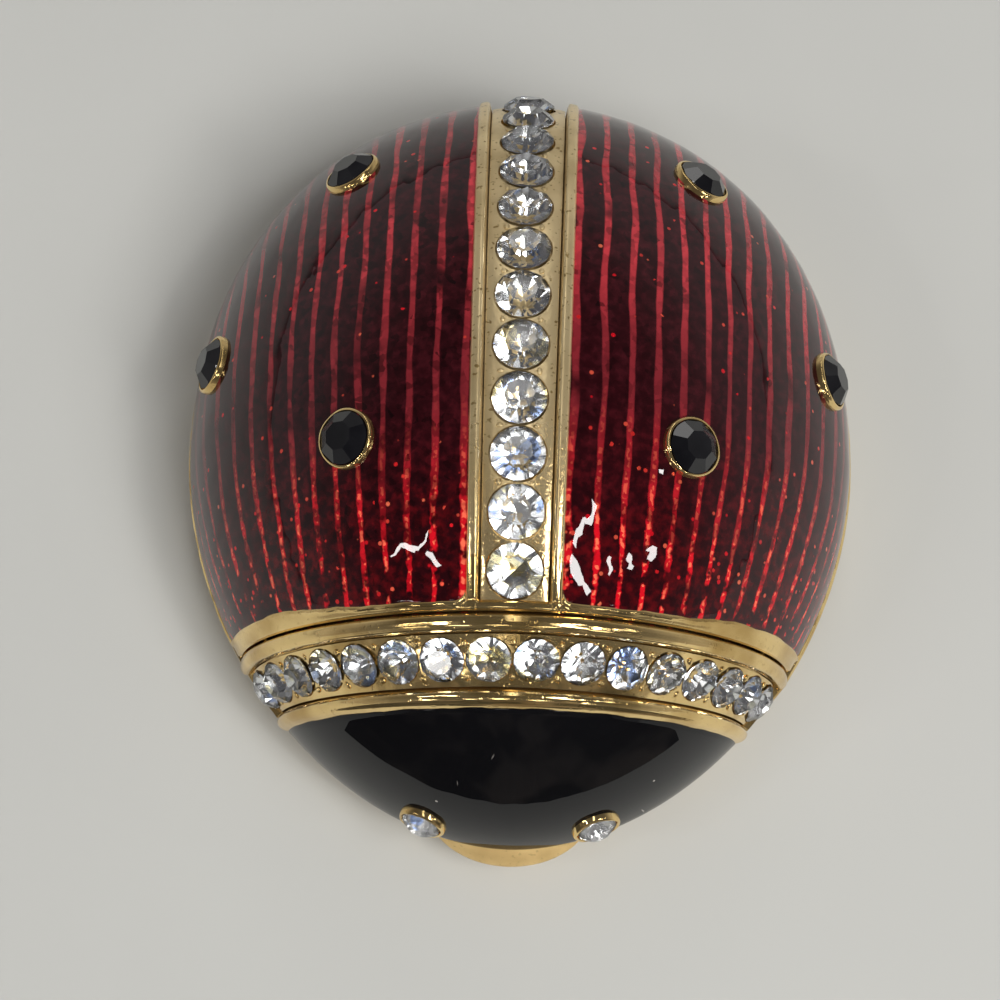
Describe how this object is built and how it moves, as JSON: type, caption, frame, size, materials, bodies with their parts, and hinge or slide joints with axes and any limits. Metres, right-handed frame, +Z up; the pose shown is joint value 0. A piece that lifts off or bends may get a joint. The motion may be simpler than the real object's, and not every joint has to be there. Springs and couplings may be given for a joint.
{
  "type": "ladybug trinket box",
  "caption": "Ladybug-shaped trinket box: hollow gilt base and domed lift-off lid with striped red enamel wings, black enamel head and rows of set stones.",
  "frame": {"origin": "middle of the flat underside, on the surface that the box stands on", "axes": "+Z up, -Y out through the head, +X to the right of someone who faces the head"},
  "size_m": [0.0444, 0.0526, 0.0244],
  "materials": {
    "gilt_metal": "polished gilding",
    "red_enamel": "clear glossy enamel over a ribbed ground",
    "black_enamel": "glossy",
    "clear_stone": "cut, foil backed",
    "black_stone": "cut, opaque"
  },
  "bodies": {
    "root": {"band_stone_01": "clear_stone", "band_stone_02": "clear_stone", "band_stone_03": "clear_stone", "band_stone_04": "clear_stone", "band_stone_05": "clear_stone", "band_stone_06": "clear_stone", "band_stone_07": "clear_stone", "band_stone_08": "clear_stone", "band_stone_09": "clear_stone", "band_stone_10": "clear_stone", "band_stone_11": "clear_stone", "band_stone_12": "clear_stone", "band_stone_13": "clear_stone", "band_stone_14": "clear_stone", "band_stone_15": "clear_stone", "band_stone_16": "clear_stone", "base": "gilt_metal", "eye_left": "clear_stone", "eye_right": "clear_stone", "head_enamel": "black_enamel", "lid": "gilt_metal", "spot_front_left": "black_stone", "spot_front_right": "black_stone", "spot_rear_left": "black_stone", "spot_rear_right": "black_stone", "spot_side_left": "black_stone", "spot_side_right": "black_stone", "strip_stone_01": "clear_stone", "strip_stone_02": "clear_stone", "strip_stone_03": "clear_stone", "strip_stone_04": "clear_stone", "strip_stone_05": "clear_stone", "strip_stone_06": "clear_stone", "strip_stone_07": "clear_stone", "strip_stone_08": "clear_stone", "strip_stone_09": "clear_stone", "strip_stone_10": "clear_stone", "strip_stone_11": "clear_stone", "strip_stone_12": "clear_stone", "strip_stone_13": "clear_stone", "wing_enamel_left": "red_enamel", "wing_enamel_right": "red_enamel"}
  },
  "joints": []
}
